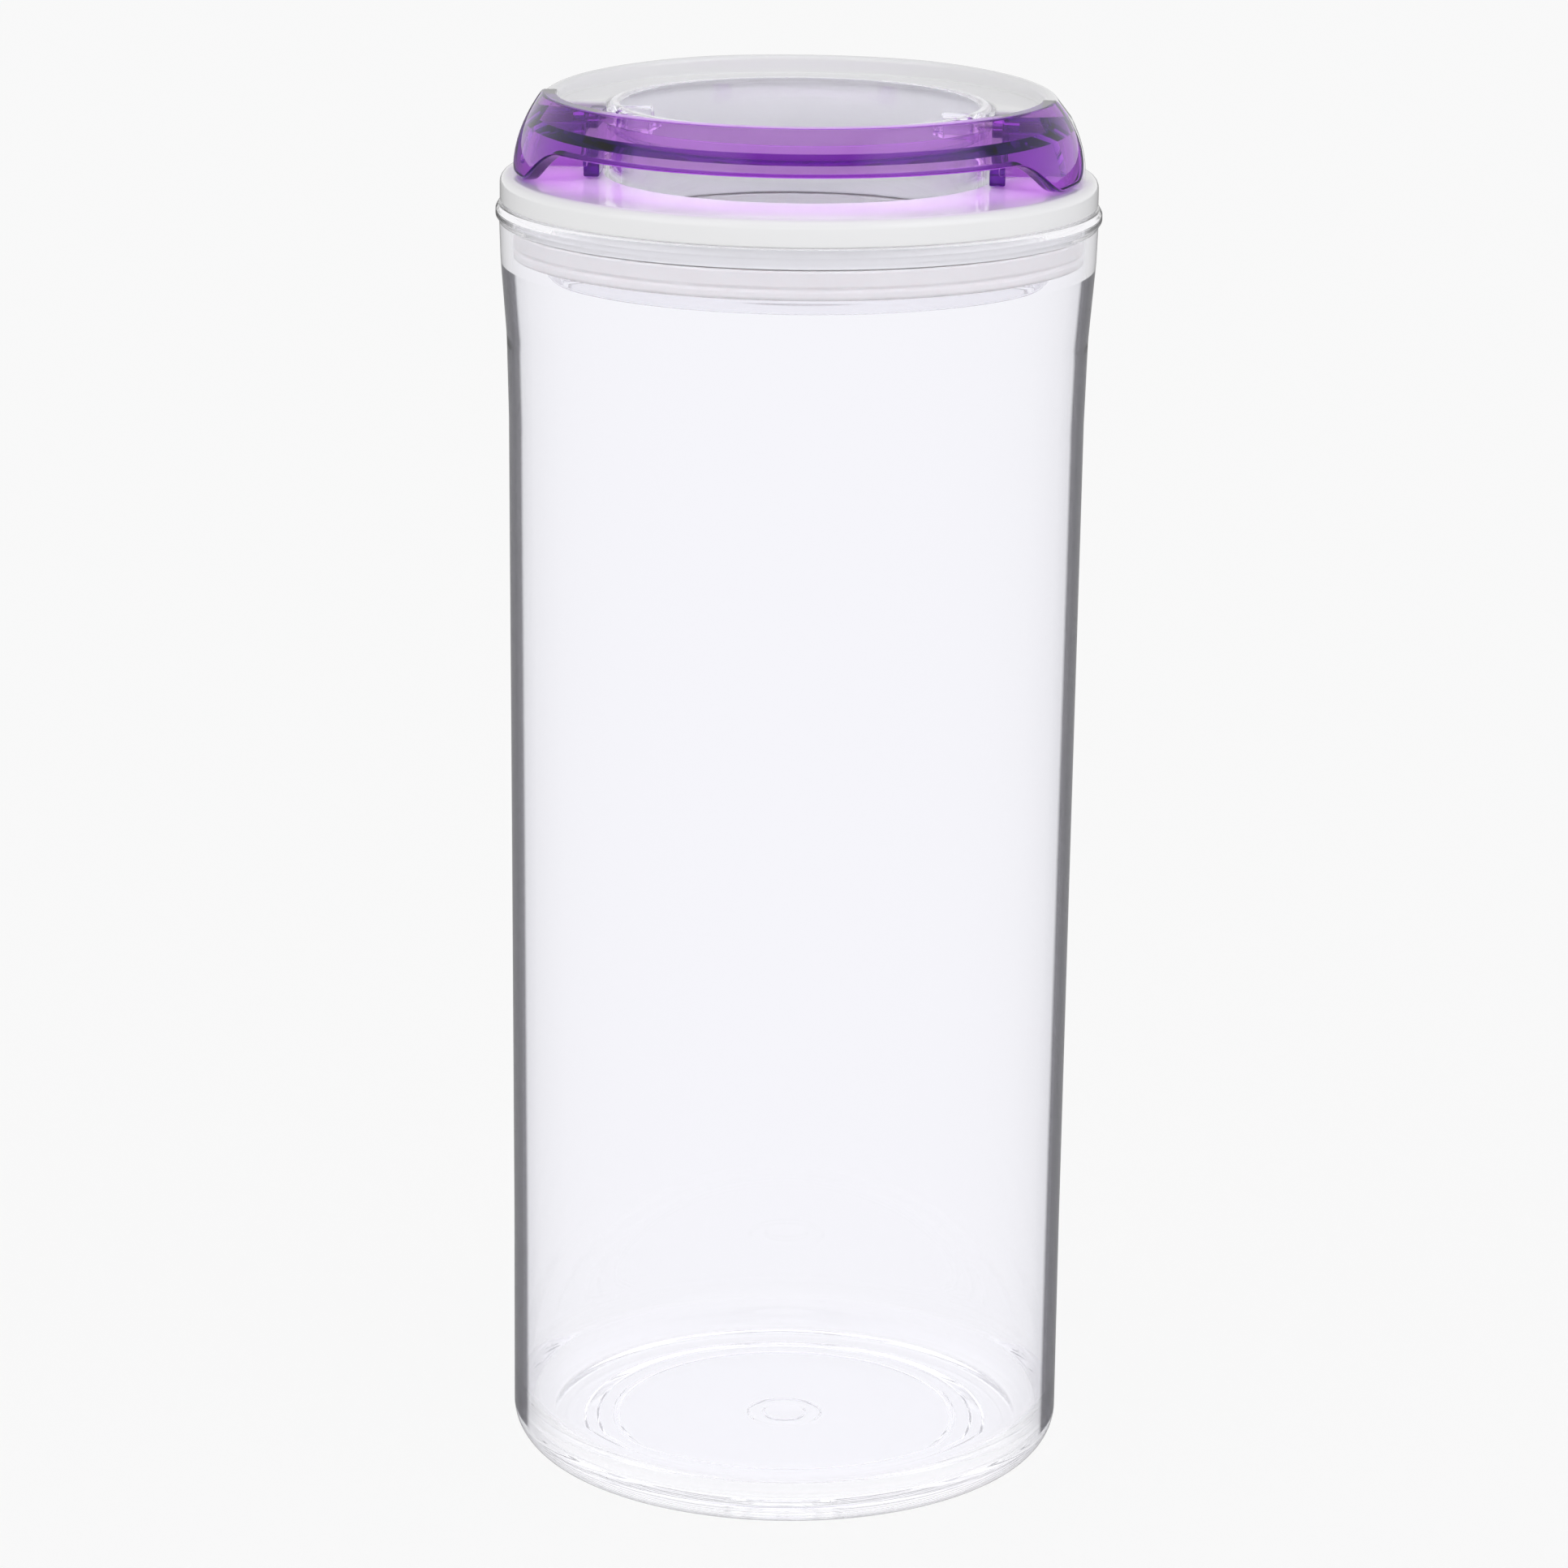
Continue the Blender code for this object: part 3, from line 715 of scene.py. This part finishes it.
def make_world():
    """A plain pale backdrop for what is seen directly or through plastic, and a studio for the rest."""
    world = bpy.data.worlds.new("studio")
    bpy.context.scene.world = world
    world.use_nodes = True
    tree = world.node_tree
    direction = tree.nodes.new("ShaderNodeTexCoord").outputs["Generated"]
    parts = tree.nodes.new("ShaderNodeSeparateXYZ")
    tree.links.new(direction, parts.inputs["Vector"])
    height = tree.nodes.new("ShaderNodeMapRange")
    height.inputs["From Min"].default_value = -1.0
    tree.links.new(parts.outputs["Z"], height.inputs["Value"])
    shown = tree.nodes["Background"]
    height = height.outputs["Result"]
    through = ramp(tree, height, [(0.66, grey(THROUGH)), (0.82, grey(THROUGH_ABOVE))])
    tree.links.new(through, shown.inputs["Color"])
    path = tree.nodes.new("ShaderNodeLightPath")
    to_matt = ramp(tree, height, [(0.6, grey(TO_MATT)), (0.8, grey(TO_MATT_ABOVE / THROUGH_ABOVE))])
    tree.links.new(lit_through(tree, path, 1.0, to_matt), shown.inputs["Strength"])
    total = ramp(tree, height, [(position, grey(level)) for position, level in SKY])
    for towards, inner, outer, colour in SOFTBOXES:
        node = tree.nodes.new("ShaderNodeMix")
        node.data_type = "RGBA"
        node.blend_type = "ADD"
        tree.links.new(softbox(tree, direction, towards, inner, outer), node.inputs["Factor"])
        tree.links.new(total, node.inputs["A"])
        node.inputs["B"].default_value = (*colour, 1.0)
        total = node.outputs["Result"]
    light = tree.nodes.new("ShaderNodeBackground")
    tree.links.new(total, light.inputs["Color"])
    seen = tree.nodes.new("ShaderNodeMath")
    seen.operation = "MAXIMUM"
    tree.links.new(path.outputs["Is Camera Ray"], seen.inputs[0])
    tree.links.new(path.outputs["Is Transmission Ray"], seen.inputs[1])
    mix = tree.nodes.new("ShaderNodeMixShader")
    tree.links.new(seen.outputs["Value"], mix.inputs["Fac"])
    tree.links.new(light.outputs["Background"], mix.inputs[1])
    tree.links.new(shown.outputs["Background"], mix.inputs[2])
    tree.links.new(mix.outputs["Shader"], tree.nodes["World Output"].inputs["Surface"])


def make_camera():
    """Pinhole view 4.5 degrees to the right of the handle's front, looking down on the lid."""
    azimuth = math.radians(4.5)
    distance = 0.872
    height = 0.353
    pitch = math.radians(15.17)
    pan = math.radians(-0.088)
    roll = math.radians(0.68)
    lens = bpy.data.cameras.new("camera")
    lens.sensor_width = 36.0
    lens.lens = 122.15
    lens.clip_start = 0.01
    camera = bpy.data.objects.new("camera", lens)
    heading = azimuth - pan
    turn = Matrix.Rotation(heading, 4, "Z") @ Matrix.Rotation(0.5 * math.pi - pitch, 4, "X")
    place = Matrix.Translation((distance * math.sin(azimuth), -distance * math.cos(azimuth), height))
    camera.matrix_world = place @ turn @ Matrix.Rotation(roll, 4, "Z")
    bpy.context.scene.collection.objects.link(camera)
    bpy.context.scene.camera = camera


CLEAR_BOUNCES = 256


def set_look():
    """Many bounces, because light that is caught in a clear wall takes that many to leave it."""
    scene = bpy.context.scene
    scene.view_settings.view_transform = "Standard"
    scene.cycles.max_bounces = CLEAR_BOUNCES
    scene.cycles.transmission_bounces = CLEAR_BOUNCES
    scene.cycles.glossy_bounces = CLEAR_BOUNCES
    scene.cycles.diffuse_bounces = 8
    scene.cycles.transparent_max_bounces = 16


# Painted shade on the jar's outer skin, from face on (0) to edge on (1): its colour turns dark where the
# wall is seen edge on, standing in for dark studio cards reflected and refracted there
PAINTED_EDGE_SHADE = [(0.0, (0.98, 0.98, 1.0)), (0.44, (0.97, 0.97, 0.99)),
        (0.60, (0.93, 0.93, 0.955)), (0.695, (0.80, 0.80, 0.84)),
        (0.725, (0.07, 0.068, 0.08)), (0.80, (0.035, 0.034, 0.042)),
        (0.90, (0.06, 0.058, 0.07)), (1.0, (0.45, 0.45, 0.48))]

make_camera()
make_world()
make_floor()
set_look()

# clear skin with painted dark edge shade, for the jar's outer wall only
clear_skin_painted_edges = clear_plastic("clear_skin_painted_edges", PAINTED_EDGE_SHADE)
clear_inside = clear_plastic("clear_inside")
white = white_plastic()
make_jar(clear_skin_painted_edges, clear_inside)
make_cover(white)
make_press_ring(white)
make_seal(silicone())
make_cup(clear_inside)
make_handle(purple_plastic())
make_pins(steel())
